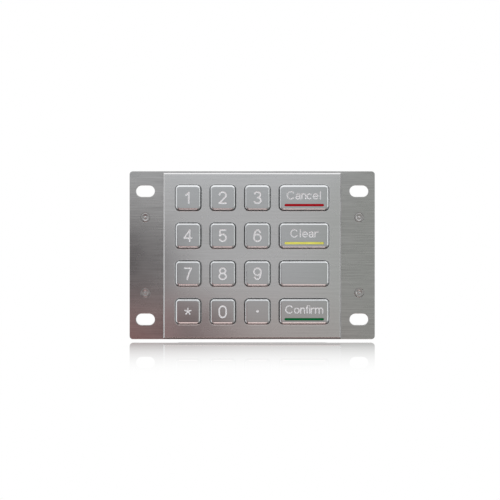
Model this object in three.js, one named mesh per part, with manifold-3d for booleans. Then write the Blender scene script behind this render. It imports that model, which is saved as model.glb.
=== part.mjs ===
// Sixteen-key stainless steel entry keypad that mounts behind a panel, with its keys through the
// panel's cut-out.
// Millimetres. +X is to the user's right, +Y goes into the panel and +Z is up.
// The origin is the centre of the mounting flange's front face, which bears on the back of the panel.
import * as THREE from "three";
import { mergeVertices } from "three/addons/utils/BufferGeometryUtils.js";
import Module from "manifold-3d";

const wasm = await Module();
wasm.setup();

// ---------- Driving dimensions ----------

const FLANGE = { width: 146, height: 100, thick: 2, corner: 2 };
const SLOT = { length: 11.2, width: 6.8, x: 63.6, z: 38.2 };
const FACE = { width: 105.6, height: 98.4, thick: 3, corner: 0.4, edge: 1, z: -0.3 };
const WINDOW = { width: 97.6, height: 89.6, corner: 3 };

const KEY = { size: 14.7, wide: 29, corner: 2.4, proud: 2, edge: 0.9 };
const KEY_GAP = 0.25;
const KEY_RIM = { reach: 1.3, front: 0.25, back: 1.75 };
const COLUMNS = [-37.9, -17.4, 3.1];
const WIDE_COLUMN = 30.7;
const ROW_PITCH = 22.45;
const GRID_MIDDLE_Z = 0.4;
const KEY_ROWS = [
  ["key_1", "key_2", "key_3", "key_cancel"],
  ["key_4", "key_5", "key_6", "key_clear"],
  ["key_7", "key_8", "key_9", "key_blank"],
  ["key_star", "key_0", "key_point", "key_confirm"],
];
const INLAY = { length: 23.4, width: 1.4, deep: 0.5, drop: 4.5, corner: 0.3, gap: 0.04 };
const INLAY_COLOURS = { key_cancel: "red", key_clear: "yellow", key_confirm: "green" };

// Flush-head studs pressed into the flange, which carry the rear housing.
const FLANGE_STUD = { x: 63.6, z: 22.4, head: 2.8, headDeep: 1, shank: 2, gap: 0.08, end: 11 };
const NUT = { acrossFlats: 7, flange: 4.5, flangeDeep: 1, deep: 3.5, bore: 2.15 };

// Planes of the stack behind the face plate, from the front to the back.
const GUIDE_BACK = 3.25;
const MAT_BACK = 4.5;
const KEY_BOARD_BACK = 6;
const BACKING_BACK = 7.5;
const BOARD_FRONT = 17.5;
const BOARD_BACK = 19;
const STACK = { width: 96, height: 88, corner: 2.5 };
const DOME = { base: 6, top: 4, front: 2, root: 3.5, hollow: 4.4, hollowFront: 3, pill: 2.6, pillBack: 4 };

// Studs welded behind the face plate clamp the stack through hexagonal standoffs.
const STACK_STUD = { x: 34, shank: 1.5, end: 11 };
const STANDOFF = { acrossFlats: 5.5, bore: 1.65 };

const CONTROLLER = { width: 80, height: 71, corner: 2 };
const BOARD_SCREW = { head: 2.8, headDeep: 2, shank: 1.45, end: 13 };

const HOUSING = { width: 103, height: 95, corner: 6, wall: 2.5, front: 2.5, back: 28 };
// The ears' inner ends are cut away up to here, to make room for the key stack.
const CAVITY_BACK = 8.5;
const EAR = { outer: 70, halfHeight: 6.5, thick: 3, corner: 3, stem: 48 };
const GUSSET = { thick: 2, reach: 8, deep: 12 };
const BOSS = { x: 45, z: 41.2, radius: 4.2, front: 9, bore: 1.5, boreDeep: 9 };
const COVER_BACK = 29.5;
const COVER_SCREW = { head: 2.9, headDeep: 2, shank: 1.35, deep: 8, socket: 1.4, socketDeep: 1.1 };

const HEADER = { x: 0, z: -25, width: 20.5, height: 9, wall: 1.25, floor: 24, back: 31.5, corner: 0.5 };
const HEADER_KEYWAY = { width: 4.5, height: 2.75, front: 29.75 };
const HEADER_WINDOW_GAP = 0.5;
const LINK = { x: 0, z: 29, width: 22, height: 5, gap: 1 };
const PROCESSOR = { x: -10, z: 10, size: 14, deep: 1.5, corner: 0.4 };
const BATTERY = { x: 20, z: -8, radius: 10, front: 19.5, back: 22.75 };
const BUZZER = { x: -25, z: -12, radius: 6, deep: 6.5, port: 1, portFront: 24.5 };
const TAMPER = { x: 22, z: 17, size: 6, deep: 4, plunger: 1.5, plungerBack: 27.75 };
const EARTH = { x: -38, z: -26, bore: 2.2, shank: 2, end: 36, head: 3.5, headDeep: 2.5, washer: 4.4 };
const EARTH_WASHER_DEEP = 0.75;

// How much wider than its stud, screw or pin each hole is all round.
const HOLE_GAP = { guide: 0.2, mat: 0.5, board: 0.15, ear: 0.3, cover: 0.25 };
const GUIDE_MARGIN = 0.5;
const PAD_OVERLAP = 1;
const WINDOW_CORNER = 1;
// How far a tool that cuts a piece, or a root that joins one, reaches past the surface.
const PAST = 1;

const ARC_STEPS = 3;
const BROAD_ARC_STEPS = 4;
const ROUND_SIDES = 12;
const DOME_SIDES = 10;
const EDGE_STEPS = 2;

// ---------- Materials ----------

const steel = (colour, roughness) =>
  new THREE.MeshStandardMaterial({ color: colour, roughness, metalness: 1 });
const plastic = (colour, roughness) =>
  new THREE.MeshStandardMaterial({ color: colour, roughness, metalness: 0 });

const MATERIALS = {
  flange: steel(0x8f9292, 0.38),
  face: steel(0xa9acad, 0.36),
  key: steel(0xa2a7a8, 0.33),
  fastener: steel(0xb9bab5, 0.3),
  casting: steel(0xa4a6a6, 0.55),
  cover: steel(0x9b9ea0, 0.4),
  backing: steel(0xb2b4b0, 0.45),
  nickel: steel(0xc8c4b8, 0.25),
  red: plastic(0xa20812, 0.35),
  yellow: plastic(0xd0cb52, 0.35),
  green: plastic(0x0a5f40, 0.35),
  nylon: plastic(0x1b1c1e, 0.6),
  silicone: plastic(0x3b3e42, 0.75),
  rubber: plastic(0x18191a, 0.85),
  board: plastic(0x0e4a33, 0.5),
  component: plastic(0x141516, 0.55),
};

// ---------- Outlines, in X and Z ----------

// A rounded rectangle, anticlockwise from the front. It is a slot or a circle where the radius reaches
// half a side.
function roundedOutline(width, height, radius, x = 0, z = 0, steps = ARC_STEPS) {
  const points = [];
  for (let corner = 0; corner < 4; corner++) {
    const middleX = x + (corner === 0 || corner === 3 ? 1 : -1) * (width / 2 - radius);
    const middleZ = z + (corner < 2 ? 1 : -1) * (height / 2 - radius);
    for (let step = 0; step <= steps; step++) {
      const angle = (Math.PI / 2) * (corner + step / steps);
      const point = new THREE.Vector2(
        middleX + radius * Math.cos(angle),
        middleZ + radius * Math.sin(angle),
      );
      if (!points.some((other) => other.distanceTo(point) < 1e-6)) points.push(point);
    }
  }
  return points;
}

const circleOutline = (radius, x = 0, z = 0) =>
  roundedOutline(2 * radius, 2 * radius, radius, x, z, ROUND_SIDES / 4);

function hexOutline(acrossFlats, x, z) {
  const reach = acrossFlats / Math.sqrt(3);
  return [0, 1, 2, 3, 4, 5].map(
    (k) =>
      new THREE.Vector2(x + reach * Math.cos((k * Math.PI) / 3), z + reach * Math.sin((k * Math.PI) / 3)),
  );
}

// ---------- Solids ----------

// A plate between two planes across Y, with holes right through.
function plate(outline, front, back, holes = []) {
  const shape = new THREE.Shape(outline);
  shape.holes = holes.map((hole) => new THREE.Path([...hole].reverse()));
  const geometry = new THREE.ExtrudeGeometry(shape, { depth: back - front, bevelEnabled: false });
  return geometry.rotateX(Math.PI / 2).translate(0, back, 0);
}

// A convex piece through outlines of the same number of points, each at its own Y, from the front to
// the back.
function loft(rings) {
  const count = rings[0].outline.length;
  const positions = rings.flatMap((ring) => ring.outline.flatMap((p) => [p.x, ring.y, p.y]));
  const faces = [];
  for (let ring = 0; ring + 1 < rings.length; ring++) {
    for (let i = 0; i < count; i++) {
      const next = (i + 1) % count;
      const [a, b] = [ring * count + i, ring * count + next];
      faces.push(a, a + count, b + count, a, b + count, b);
    }
  }
  const last = (rings.length - 1) * count;
  for (let i = 1; i + 1 < count; i++) {
    faces.push(0, i, i + 1, last, last + i + 1, last + i);
  }
  const geometry = new THREE.BufferGeometry();
  geometry.setAttribute("position", new THREE.Float32BufferAttribute(positions, 3));
  geometry.setIndex(faces);
  geometry.computeVertexNormals();
  return geometry;
}

// The steps of a rounded edge: how far each is behind the front, and how far inside the full outline.
const easedEdge = (radius) =>
  Array.from({ length: EDGE_STEPS + 1 }, (_, step) => {
    const angle = (Math.PI / 2) * (step / EDGE_STEPS);
    return { rise: radius * (1 - Math.cos(angle)), inset: radius * (1 - Math.sin(angle)) };
  });

// A round piece about a line along Y, from radius and Y pairs that start and end on that line.
function turned(profile, x = 0, z = 0, sides = ROUND_SIDES) {
  const points = profile.map(([radius, y]) => new THREE.Vector2(radius, y));
  return new THREE.LatheGeometry(points, sides).translate(x, 0, z);
}

const rod = (radius, front, back, x, z) =>
  turned([[0, front], [radius, front], [radius, back], [0, back]], x, z);

function toSolid(geometry) {
  const bare = geometry.clone();
  bare.deleteAttribute("normal");
  bare.deleteAttribute("uv");
  const merged = mergeVertices(bare, 1e-4);
  return new wasm.Manifold(
    new wasm.Mesh({
      numProp: 3,
      vertProperties: merged.attributes.position.array,
      triVerts: new Uint32Array(merged.index.array),
    }),
  );
}

function toGeometry(solid) {
  const mesh = solid.getMesh();
  const geometry = new THREE.BufferGeometry();
  geometry.setAttribute("position", new THREE.BufferAttribute(mesh.vertProperties, 3));
  geometry.setIndex(new THREE.BufferAttribute(mesh.triVerts, 1));
  geometry.computeVertexNormals();
  return geometry;
}

const joined = (...geometries) =>
  toGeometry(geometries.map(toSolid).reduce((whole, part) => whole.add(part)));

const cut = (geometry, ...tools) =>
  toGeometry(tools.map(toSolid).reduce((whole, tool) => whole.subtract(tool), toSolid(geometry)));

// ---------- The assembly ----------

const keypad = new THREE.Group();

function addPiece(name, geometry, material) {
  const mesh = new THREE.Mesh(geometry, material);
  mesh.name = name;
  keypad.add(mesh);
}

const SIDES = [
  ["left", -1],
  ["right", 1],
];
const LEVELS = [
  ["upper", 1],
  ["lower", -1],
];
// The four corners of a rectangle about a middle, each with the name of its place.
const corners = (x, z, middleZ = 0) =>
  LEVELS.flatMap(([level, up]) =>
    SIDES.map(([side, right]) => ({ name: `${level}_${side}`, x: right * x, z: middleZ + up * z, right })),
  );

const flangeStuds = corners(FLANGE_STUD.x, FLANGE_STUD.z);
const stackStuds = corners(STACK_STUD.x, ROW_PITCH, GRID_MIDDLE_Z);

const keys = KEY_ROWS.flatMap((row, r) =>
  row.map((name, c) => ({
    name,
    x: c < COLUMNS.length ? COLUMNS[c] : WIDE_COLUMN,
    z: GRID_MIDDLE_Z + (1.5 - r) * ROW_PITCH,
    width: c < COLUMNS.length ? KEY.size : KEY.wide,
  })),
);
// The outline of a key, larger by `grow` on every side.
const keyOutline = (key, grow) =>
  roundedOutline(key.width + 2 * grow, KEY.size + 2 * grow, Math.max(KEY.corner + grow, 0.5), key.x, key.z);

// Mounting flange: a flat plate with four slots, four stud holes and a window for the key stack.
function makeFlange() {
  const slots = corners(SLOT.x, SLOT.z).map(({ x, z }) =>
    roundedOutline(SLOT.length, SLOT.width, SLOT.width / 2, x, z),
  );
  const headSeats = flangeStuds.map(({ x, z }) => circleOutline(FLANGE_STUD.head + FLANGE_STUD.gap, x, z));
  const shankHoles = flangeStuds.map(({ x, z }) => circleOutline(FLANGE_STUD.shank + FLANGE_STUD.gap, x, z));
  const window = roundedOutline(WINDOW.width, WINDOW.height, WINDOW.corner);
  const outline = roundedOutline(FLANGE.width, FLANGE.height, FLANGE.corner);
  const blank = plate(outline, 0, FLANGE.thick, [window, ...slots, ...shankHoles]);
  const seats = headSeats.map((seat) => plate(seat, -PAST, FLANGE_STUD.headDeep));
  return cut(blank, ...seats);
}

// Face plate: a thick raised plate with eased edges, a window for each key and four welded studs behind.
function makeFacePlate() {
  const ring = (y, inset) => ({
    y,
    outline: roundedOutline(FACE.width - 2 * inset, FACE.height - 2 * inset, FACE.corner, 0, FACE.z, 1),
  });
  const edge = easedEdge(FACE.edge).map(({ rise, inset }) => ring(rise - FACE.thick, inset));
  const slab = loft([...edge, ring(0, 0)]);
  const windows = keys.map((key) => plate(keyOutline(key, KEY_GAP), -FACE.thick - PAST, PAST));
  const studs = stackStuds.map(({ x, z }) => rod(STACK_STUD.shank, -PAST, STACK_STUD.end, x, z));
  return joined(cut(slab, ...windows), ...studs);
}

// A key: a cap with rounded front edges on a wider rim that the face plate holds back.
function makeKey(key) {
  const front = -FACE.thick - KEY.proud;
  const edge = easedEdge(KEY.edge).map(({ rise, inset }) => ({
    y: front + rise,
    outline: keyOutline(key, -inset),
  }));
  const body = loft([
    ...edge,
    { y: KEY_RIM.front, outline: keyOutline(key, 0) },
    { y: KEY_RIM.front, outline: keyOutline(key, KEY_RIM.reach) },
    { y: KEY_RIM.back, outline: keyOutline(key, KEY_RIM.reach) },
  ]);
  if (!INLAY_COLOURS[key.name]) return body;
  const groove = roundedOutline(INLAY.length, INLAY.width, INLAY.corner, key.x, key.z - INLAY.drop, 2);
  return cut(body, plate(groove, front - PAST, front + INLAY.deep));
}

// The coloured bar that fills a key's groove, level with the cap.
function makeInlay(key) {
  const front = -FACE.thick - KEY.proud;
  const outline = roundedOutline(
    INLAY.length - 2 * INLAY.gap,
    INLAY.width - 2 * INLAY.gap,
    INLAY.corner,
    key.x,
    key.z - INLAY.drop,
    2,
  );
  return plate(outline, front, front + INLAY.deep - INLAY.gap);
}

// Nylon guide: one pocket for each key's rim.
function makeGuide() {
  const pockets = keys.map((key) => keyOutline(key, KEY_RIM.reach + KEY_GAP));
  const studHoles = stackStuds.map(({ x, z }) => circleOutline(STACK_STUD.shank + HOLE_GAP.guide, x, z));
  const [width, height] = [WINDOW.width - 2 * GUIDE_MARGIN, WINDOW.height - 2 * GUIDE_MARGIN];
  const outline = roundedOutline(width, height, STACK.corner);
  return plate(outline, 0, GUIDE_BACK, [...pockets, ...studHoles]);
}

// Silicone mat: a sheet with a hollow dome and a contact pill behind each key.
function makeKeymat() {
  const studHoles = stackStuds.map(({ x, z }) => circleOutline(STACK_STUD.shank + HOLE_GAP.mat, x, z));
  const outline = roundedOutline(STACK.width, STACK.height, STACK.corner);
  const sheet = plate(outline, GUIDE_BACK, MAT_BACK, studHoles);
  const { front, top, base, hollow, hollowFront, pill, pillBack, root } = DOME;
  const shell = [[0, front], [top, front], [base, root], [0, root]];
  const inside = [
    [0, pillBack],
    [pill, hollowFront],
    [hollow, hollowFront],
    [hollow, MAT_BACK + PAST],
    [0, MAT_BACK + PAST],
  ];
  const domes = keys.map(({ x, z }) => turned(shell, x, z, DOME_SIDES));
  const hollows = keys.map(({ x, z }) => turned(inside, x, z, DOME_SIDES));
  return cut(joined(sheet, ...domes), ...hollows);
}

const stackPlate = (front, back, holes = []) =>
  plate(roundedOutline(STACK.width, STACK.height, STACK.corner), front, back, [
    ...stackStuds.map(({ x, z }) => circleOutline(STACK_STUD.shank + HOLE_GAP.board, x, z)),
    ...holes,
  ]);

// Rear housing: an open cast frame with four ears on the flange studs and six bosses for the cover.
function makeHousing() {
  const inside = {
    width: HOUSING.width - 2 * HOUSING.wall,
    height: HOUSING.height - 2 * HOUSING.wall,
    corner: HOUSING.corner - HOUSING.wall,
  };
  const frame = plate(
    roundedOutline(HOUSING.width, HOUSING.height, HOUSING.corner, 0, 0, BROAD_ARC_STEPS),
    HOUSING.front,
    HOUSING.back,
    [roundedOutline(inside.width, inside.height, inside.corner, 0, 0, BROAD_ARC_STEPS)],
  );
  const earWidth = EAR.outer - EAR.stem;
  const ears = flangeStuds.map(({ x, z, right }) =>
    cut(
      plate(
        roundedOutline(earWidth, 2 * EAR.halfHeight, EAR.corner, right * (EAR.stem + earWidth / 2), z),
        HOUSING.front,
        HOUSING.front + EAR.thick,
      ),
      rod(FLANGE_STUD.shank + HOLE_GAP.ear, 0, HOUSING.front + EAR.thick + PAST, x, z),
    ),
  );
  const bosses = coverScrews.map(({ x, z }) => rod(BOSS.radius, BOSS.front, HOUSING.back, x, z));
  const bores = coverScrews.map(({ x, z }) =>
    rod(BOSS.bore, HOUSING.back - BOSS.boreDeep, HOUSING.back + PAST, x, z),
  );
  const cavity = plate(roundedOutline(inside.width, inside.height, inside.corner), 0, CAVITY_BACK);
  return cut(joined(cut(joined(frame, ...ears), cavity), ...bosses, ...gussets()), ...bores);
}

// Triangular webs that brace each ear against the housing's side, above and below the nut.
function gussets() {
  const wall = HOUSING.width / 2;
  const base = HOUSING.front + EAR.thick;
  return flangeStuds.flatMap(({ z, right }) =>
    [1, -1].map((up) => {
      const web = new THREE.Shape([
        new THREE.Vector2(wall - PAST, base - PAST),
        new THREE.Vector2(wall + GUSSET.reach, base - PAST),
        new THREE.Vector2(wall + GUSSET.reach, base),
        new THREE.Vector2(wall, base + GUSSET.deep),
        new THREE.Vector2(wall - PAST, base + GUSSET.deep),
      ]);
      const middle = z + up * (EAR.halfHeight - GUSSET.thick / 2);
      const geometry = new THREE.ExtrudeGeometry(web, { depth: GUSSET.thick, bevelEnabled: false });
      geometry.translate(0, 0, middle - GUSSET.thick / 2);
      return right > 0 ? geometry : mirroredX(geometry);
    }),
  );
}

// The mirror image across X = 0, with each triangle turned round so that its faces still point out.
function mirroredX(geometry) {
  const mirrored = geometry.clone().scale(-1, 1, 1);
  const { array } = mirrored.attributes.position;
  for (let i = 0; i < array.length; i += 9) {
    for (let k = 0; k < 3; k++) {
      [array[i + 3 + k], array[i + 6 + k]] = [array[i + 6 + k], array[i + 3 + k]];
    }
  }
  return mirrored;
}

const coverScrews = [
  ...corners(BOSS.x, BOSS.z),
  { name: "upper_middle", x: 0, z: BOSS.z },
  { name: "lower_middle", x: 0, z: -BOSS.z },
];

// Gasket between the housing and the flange, with a pad under each ear.
function makeGasket() {
  const ring = plate(
    roundedOutline(HOUSING.width, HOUSING.height, HOUSING.corner, 0, 0, BROAD_ARC_STEPS),
    FLANGE.thick,
    HOUSING.front,
    [
      roundedOutline(
        HOUSING.width - 2 * HOUSING.wall,
        HOUSING.height - 2 * HOUSING.wall,
        HOUSING.corner - HOUSING.wall,
        0,
        0,
        BROAD_ARC_STEPS,
      ),
    ],
  );
  const padWidth = EAR.outer - HOUSING.width / 2 + PAD_OVERLAP;
  const pads = flangeStuds.map(({ x, z, right }) =>
    plate(
      roundedOutline(padWidth, 2 * EAR.halfHeight, EAR.corner / 2, right * (EAR.outer - padWidth / 2), z),
      FLANGE.thick,
      HOUSING.front,
      [circleOutline(FLANGE_STUD.shank + HOLE_GAP.ear, x, z)],
    ),
  );
  return joined(ring, ...pads);
}

// Rear cover: a flat plate with a window for the header.
function makeCover() {
  return plate(
    roundedOutline(HOUSING.width, HOUSING.height, HOUSING.corner, 0, 0, BROAD_ARC_STEPS),
    HOUSING.back,
    COVER_BACK,
    [
      ...coverScrews.map(({ x, z }) => circleOutline(COVER_SCREW.shank + HOLE_GAP.cover, x, z)),
      circleOutline(EARTH.bore, EARTH.x, EARTH.z),
      roundedOutline(
        HEADER.width + 2 * HEADER_WINDOW_GAP,
        HEADER.height + 2 * HEADER_WINDOW_GAP,
        WINDOW_CORNER,
        HEADER.x,
        HEADER.z,
        2,
      ),
    ],
  );
}

// A pan-head screw whose head faces +Y, with a hexagonal socket if it has one.
function makeScrew({ head, headDeep, shank }, seat, tip, x, z, socket) {
  const body = turned(
    [
      [0, tip],
      [shank, tip],
      [shank, seat],
      [head, seat],
      [head, seat + 0.6 * headDeep],
      [0.7 * head, seat + headDeep],
      [0, seat + headDeep],
    ],
    x,
    z,
  );
  if (!socket) return body;
  const top = seat + headDeep;
  const hex = plate(hexOutline(2 * socket.size, x, z), top - socket.deep, top + PAST);
  return cut(body, hex);
}

// A flanged hexagon nut.
function makeNut(x, z, front) {
  const collar = plate(circleOutline(NUT.flange, x, z), front, front + NUT.flangeDeep);
  const hexagon = plate(hexOutline(NUT.acrossFlats, x, z), front + NUT.flangeDeep / 2, front + NUT.deep);
  return cut(joined(collar, hexagon), rod(NUT.bore, front - PAST, front + NUT.deep + PAST, x, z));
}

// Shrouded header: a socket with a keying notch, open to the back.
function makeHeader() {
  const { x, z, width, height, wall, floor, back, corner } = HEADER;
  const key = HEADER_KEYWAY;
  const block = plate(roundedOutline(width, height, corner, x, z, 2), BOARD_BACK, back);
  const inside = roundedOutline(width - 2 * wall, height - 2 * wall, corner / 2, x, z, 2);
  const socket = plate(inside, floor, back + PAST);
  const notchOutline = roundedOutline(key.width, key.height, corner / 2, x, z + height / 2, 2);
  const notch = plate(notchOutline, key.front, back + PAST);
  return cut(block, socket, notch);
}

// ---------- Front: flange, face plate and keys ----------

addPiece("mounting_flange", makeFlange(), MATERIALS.flange);
addPiece("face_plate", makeFacePlate(), MATERIALS.face);
for (const { name, x, z } of flangeStuds) {
  const { head, headDeep, shank, gap, end } = FLANGE_STUD;
  const seat = headDeep - gap;
  const profile = [[0, 0], [head, 0], [head, seat], [shank, seat], [shank, end], [0, end]];
  addPiece(`flange_stud_${name}`, turned(profile, x, z), MATERIALS.fastener);
}
for (const key of keys) {
  addPiece(key.name, makeKey(key), MATERIALS.key);
  const colour = INLAY_COLOURS[key.name];
  if (colour) addPiece(`inlay_${colour}`, makeInlay(key), MATERIALS[colour]);
}

// ---------- Key stack ----------

const linkWindow = roundedOutline(
  LINK.width + 2 * LINK.gap,
  LINK.height + 2 * LINK.gap,
  WINDOW_CORNER,
  LINK.x,
  LINK.z,
  2,
);
addPiece("key_guide", makeGuide(), MATERIALS.nylon);
addPiece("silicone_keymat", makeKeymat(), MATERIALS.silicone);
addPiece("key_circuit_board", stackPlate(MAT_BACK, KEY_BOARD_BACK), MATERIALS.board);
addPiece("backing_plate", stackPlate(KEY_BOARD_BACK, BACKING_BACK, [linkWindow]), MATERIALS.backing);
for (const { name, x, z } of stackStuds) {
  const hexagon = hexOutline(STANDOFF.acrossFlats, x, z);
  const bore = [circleOutline(STANDOFF.bore, x, z)];
  addPiece(`standoff_${name}`, plate(hexagon, BACKING_BACK, BOARD_FRONT, bore), MATERIALS.nickel);
  const screw = makeScrew(BOARD_SCREW, BOARD_BACK, BOARD_SCREW.end, x, z);
  addPiece(`board_screw_${name}`, screw, MATERIALS.fastener);
}

// ---------- Controller board ----------

const boardOutline = roundedOutline(
  CONTROLLER.width,
  CONTROLLER.height,
  CONTROLLER.corner,
  0,
  GRID_MIDDLE_Z,
);
const boardHoles = stackStuds.map(({ x, z }) => circleOutline(STANDOFF.bore, x, z));
addPiece("controller_board", plate(boardOutline, BOARD_FRONT, BOARD_BACK, boardHoles), MATERIALS.board);
addPiece(
  "secure_processor",
  plate(
    roundedOutline(PROCESSOR.size, PROCESSOR.size, PROCESSOR.corner, PROCESSOR.x, PROCESSOR.z, 1),
    BOARD_BACK,
    BOARD_BACK + PROCESSOR.deep,
  ),
  MATERIALS.component,
);
addPiece(
  "backup_battery",
  rod(BATTERY.radius, BATTERY.front, BATTERY.back, BATTERY.x, BATTERY.z),
  MATERIALS.nickel,
);
addPiece(
  "buzzer",
  cut(
    rod(BUZZER.radius, BOARD_BACK, BOARD_BACK + BUZZER.deep, BUZZER.x, BUZZER.z),
    rod(BUZZER.port, BUZZER.portFront, BOARD_BACK + BUZZER.deep + PAST, BUZZER.x, BUZZER.z),
  ),
  MATERIALS.component,
);
addPiece(
  "tamper_switch",
  joined(
    plate(
      roundedOutline(TAMPER.size, TAMPER.size, 0.5, TAMPER.x, TAMPER.z, 1),
      BOARD_BACK,
      BOARD_BACK + TAMPER.deep,
    ),
    rod(TAMPER.plunger, BOARD_BACK + PAST, TAMPER.plungerBack, TAMPER.x, TAMPER.z),
  ),
  MATERIALS.component,
);
addPiece(
  "board_link_connector",
  plate(roundedOutline(LINK.width, LINK.height, 0.4, LINK.x, LINK.z, 1), KEY_BOARD_BACK, BOARD_FRONT),
  MATERIALS.component,
);
addPiece("interface_header", makeHeader(), MATERIALS.component);

// ---------- Rear housing ----------

addPiece("housing_gasket", makeGasket(), MATERIALS.rubber);
addPiece("rear_housing", makeHousing(), MATERIALS.casting);
for (const { name, x, z } of flangeStuds) {
  addPiece(`housing_nut_${name}`, makeNut(x, z, HOUSING.front + EAR.thick), MATERIALS.fastener);
}
addPiece("rear_cover", makeCover(), MATERIALS.cover);
for (const { name, x, z } of coverScrews) {
  const socket = { size: COVER_SCREW.socket, deep: COVER_SCREW.socketDeep };
  const screw = makeScrew(COVER_SCREW, COVER_BACK, COVER_BACK - COVER_SCREW.deep, x, z, socket);
  addPiece(`cover_screw_${name}`, screw, MATERIALS.fastener);
}

// Earth terminal: a bolt from inside the cover with a washer and a nut outside it.
addPiece(
  "earth_bolt",
  joined(
    plate(hexOutline(2 * EARTH.head, EARTH.x, EARTH.z), HOUSING.back - EARTH.headDeep, HOUSING.back),
    rod(EARTH.shank, HOUSING.back - PAST, EARTH.end, EARTH.x, EARTH.z),
  ),
  MATERIALS.nickel,
);
addPiece(
  "earth_washer",
  plate(circleOutline(EARTH.washer, EARTH.x, EARTH.z), COVER_BACK, COVER_BACK + EARTH_WASHER_DEEP, [
    circleOutline(NUT.bore, EARTH.x, EARTH.z),
  ]),
  MATERIALS.nickel,
);
addPiece("earth_nut", makeNut(EARTH.x, EARTH.z, COVER_BACK + EARTH_WASHER_DEEP), MATERIALS.nickel);

export default keypad;
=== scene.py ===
"""Looks for a sixteen-key stainless steel entry keypad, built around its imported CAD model.

Lengths in this script are millimetres until a mesh is made, and the frame is the CAD model's:
+X to the user's right, +Y into the panel, +Z up, with the flange's front face at Y = 0.
"""
import math

import bmesh
import bpy
import numpy as np
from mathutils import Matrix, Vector
from mathutils.geometry import delaunay_2d_cdt


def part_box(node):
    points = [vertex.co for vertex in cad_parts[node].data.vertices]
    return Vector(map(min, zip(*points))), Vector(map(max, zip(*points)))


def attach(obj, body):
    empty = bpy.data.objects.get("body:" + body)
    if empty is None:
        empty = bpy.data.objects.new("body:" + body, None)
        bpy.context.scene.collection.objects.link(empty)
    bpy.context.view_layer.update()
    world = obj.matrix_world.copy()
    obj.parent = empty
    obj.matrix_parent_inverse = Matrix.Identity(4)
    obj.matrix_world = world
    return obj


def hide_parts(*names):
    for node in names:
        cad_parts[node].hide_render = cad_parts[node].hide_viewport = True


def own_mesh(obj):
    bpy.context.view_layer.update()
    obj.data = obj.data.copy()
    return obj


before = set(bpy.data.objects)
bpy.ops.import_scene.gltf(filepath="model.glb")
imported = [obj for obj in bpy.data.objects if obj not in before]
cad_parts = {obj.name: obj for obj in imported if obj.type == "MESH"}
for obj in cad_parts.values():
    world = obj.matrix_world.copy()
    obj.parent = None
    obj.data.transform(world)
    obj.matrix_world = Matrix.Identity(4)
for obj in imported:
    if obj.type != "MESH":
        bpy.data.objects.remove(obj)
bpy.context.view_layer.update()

MM = 0.001
CHASSIS = "chassis"


# ---------- Places and sizes, from the CAD model ----------

def box_mm(node):
    """The lowest and highest corners of a CAD node, in millimetres."""
    low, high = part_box(node)
    return low / MM, high / MM


def middle(node):
    """The x and z of a CAD node's middle."""
    low, high = box_mm(node)
    return (low.x + high.x) / 2, (low.z + high.z) / 2


def size(node):
    """A CAD node's extents along x, y and z."""
    low, high = box_mm(node)
    return high - low


def depths(node):
    """The front and the back of a CAD node, as y."""
    low, high = box_mm(node)
    return low.y, high.y


KEY_LEGENDS = {
    "key_1": "1", "key_2": "2", "key_3": "3", "key_cancel": "Cancel",
    "key_4": "4", "key_5": "5", "key_6": "6", "key_clear": "Clear",
    "key_7": "7", "key_8": "8", "key_9": "9", "key_blank": "",
    "key_star": "*", "key_0": "0", "key_point": ".", "key_confirm": "Confirm",
}
INLAYS = {"key_cancel": "inlay_red", "key_clear": "inlay_yellow", "key_confirm": "inlay_green"}
PLACES = ["upper_left", "upper_right", "lower_left", "lower_right"]

FLANGE_FRONT, FLANGE_BACK = depths("mounting_flange")
HOUSING_FRONT, HOUSING_BACK = depths("rear_housing")
COVER_FRONT, COVER_BACK = depths("rear_cover")
KEY_FRONT, KEY_BACK = depths("key_1")

FACE_FRONT = -3.0
FACE_CORNER = 0.6
RIM_FRONT = 0.25
RIM_REACH = 1.3
KEY_CORNER = 2.4
KEY_GAP = 0.25
# The rounded bevel round a key's front: how far inside the outline, and how far behind the front.
KEY_BEVEL = [(1.3, 0.0), (1.15, 0.015), (1.0, 0.055), (0.85, 0.115), (0.7, 0.195), (0.55, 0.295),
             (0.4, 0.415), (0.25, 0.555), (0.12, 0.69), (0.03, 0.81), (0.0, 0.88)]
SLOT = (11.2, 6.8)
SLOT_PLACES = [(63.6 * side, 38.2 * up) for up in (1, -1) for side in (-1, 1)]
STUD_HEAD = 2.8
STUD_SHANK = 2.0
# The opening in the flange behind the face plate: its width, height and corner.
FLANGE_WINDOW = (97.6, 89.6, 3.0)
FLANGE_CORNER = 2.0
COVER_CORNER = 6.0
HOUSING_WALL = 2.5
HOUSING_INNER_CORNER = 3.5
# An M4 flanged nut: across its flats, and the radii of its collar and its bore.
NUT = (7.0, 4.5, 2.02)
HEX_HEAD = 7.0
M3_PITCH = 0.5
M4_PITCH = 0.7
# The casting's ears: their height, corner and thickness.
EAR_TALL = 13.0
EAR_CORNER = 3.0
EAR_THICK = 3.0
# The face plate's edge, in the same way: a narrow chamfer between two small radii.
FACE_BEVEL = [(1.0, 0.0), (0.93, 0.01), (0.85, 0.06), (0.74, 0.16), (0.3, 0.6), (0.14, 0.8),
              (0.04, 0.95), (0.0, 1.1)]
# Below this depth the gap round a key is in dark steel, as painted shade.
GAP_SHADE = FACE_FRONT + 0.45


# ---------- Outlines, as lists of (x, z) ----------

def round_rect(width, height, radius, x=0.0, z=0.0, steps=8, smallest=0.05):
    """A function that gives a rounded rectangle grown by so much on every side."""
    def outline(grow=0.0):
        bend = max(radius + grow, smallest)
        points = []
        for corner in range(4):
            mid_x = x + (1 if corner in (0, 3) else -1) * ((width + 2 * grow) / 2 - bend)
            mid_z = z + (1 if corner < 2 else -1) * ((height + 2 * grow) / 2 - bend)
            for step in range(steps + 1):
                angle = math.pi / 2 * (corner + step / steps)
                points.append((mid_x + bend * math.cos(angle), mid_z + bend * math.sin(angle)))
        return points
    return outline


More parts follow.
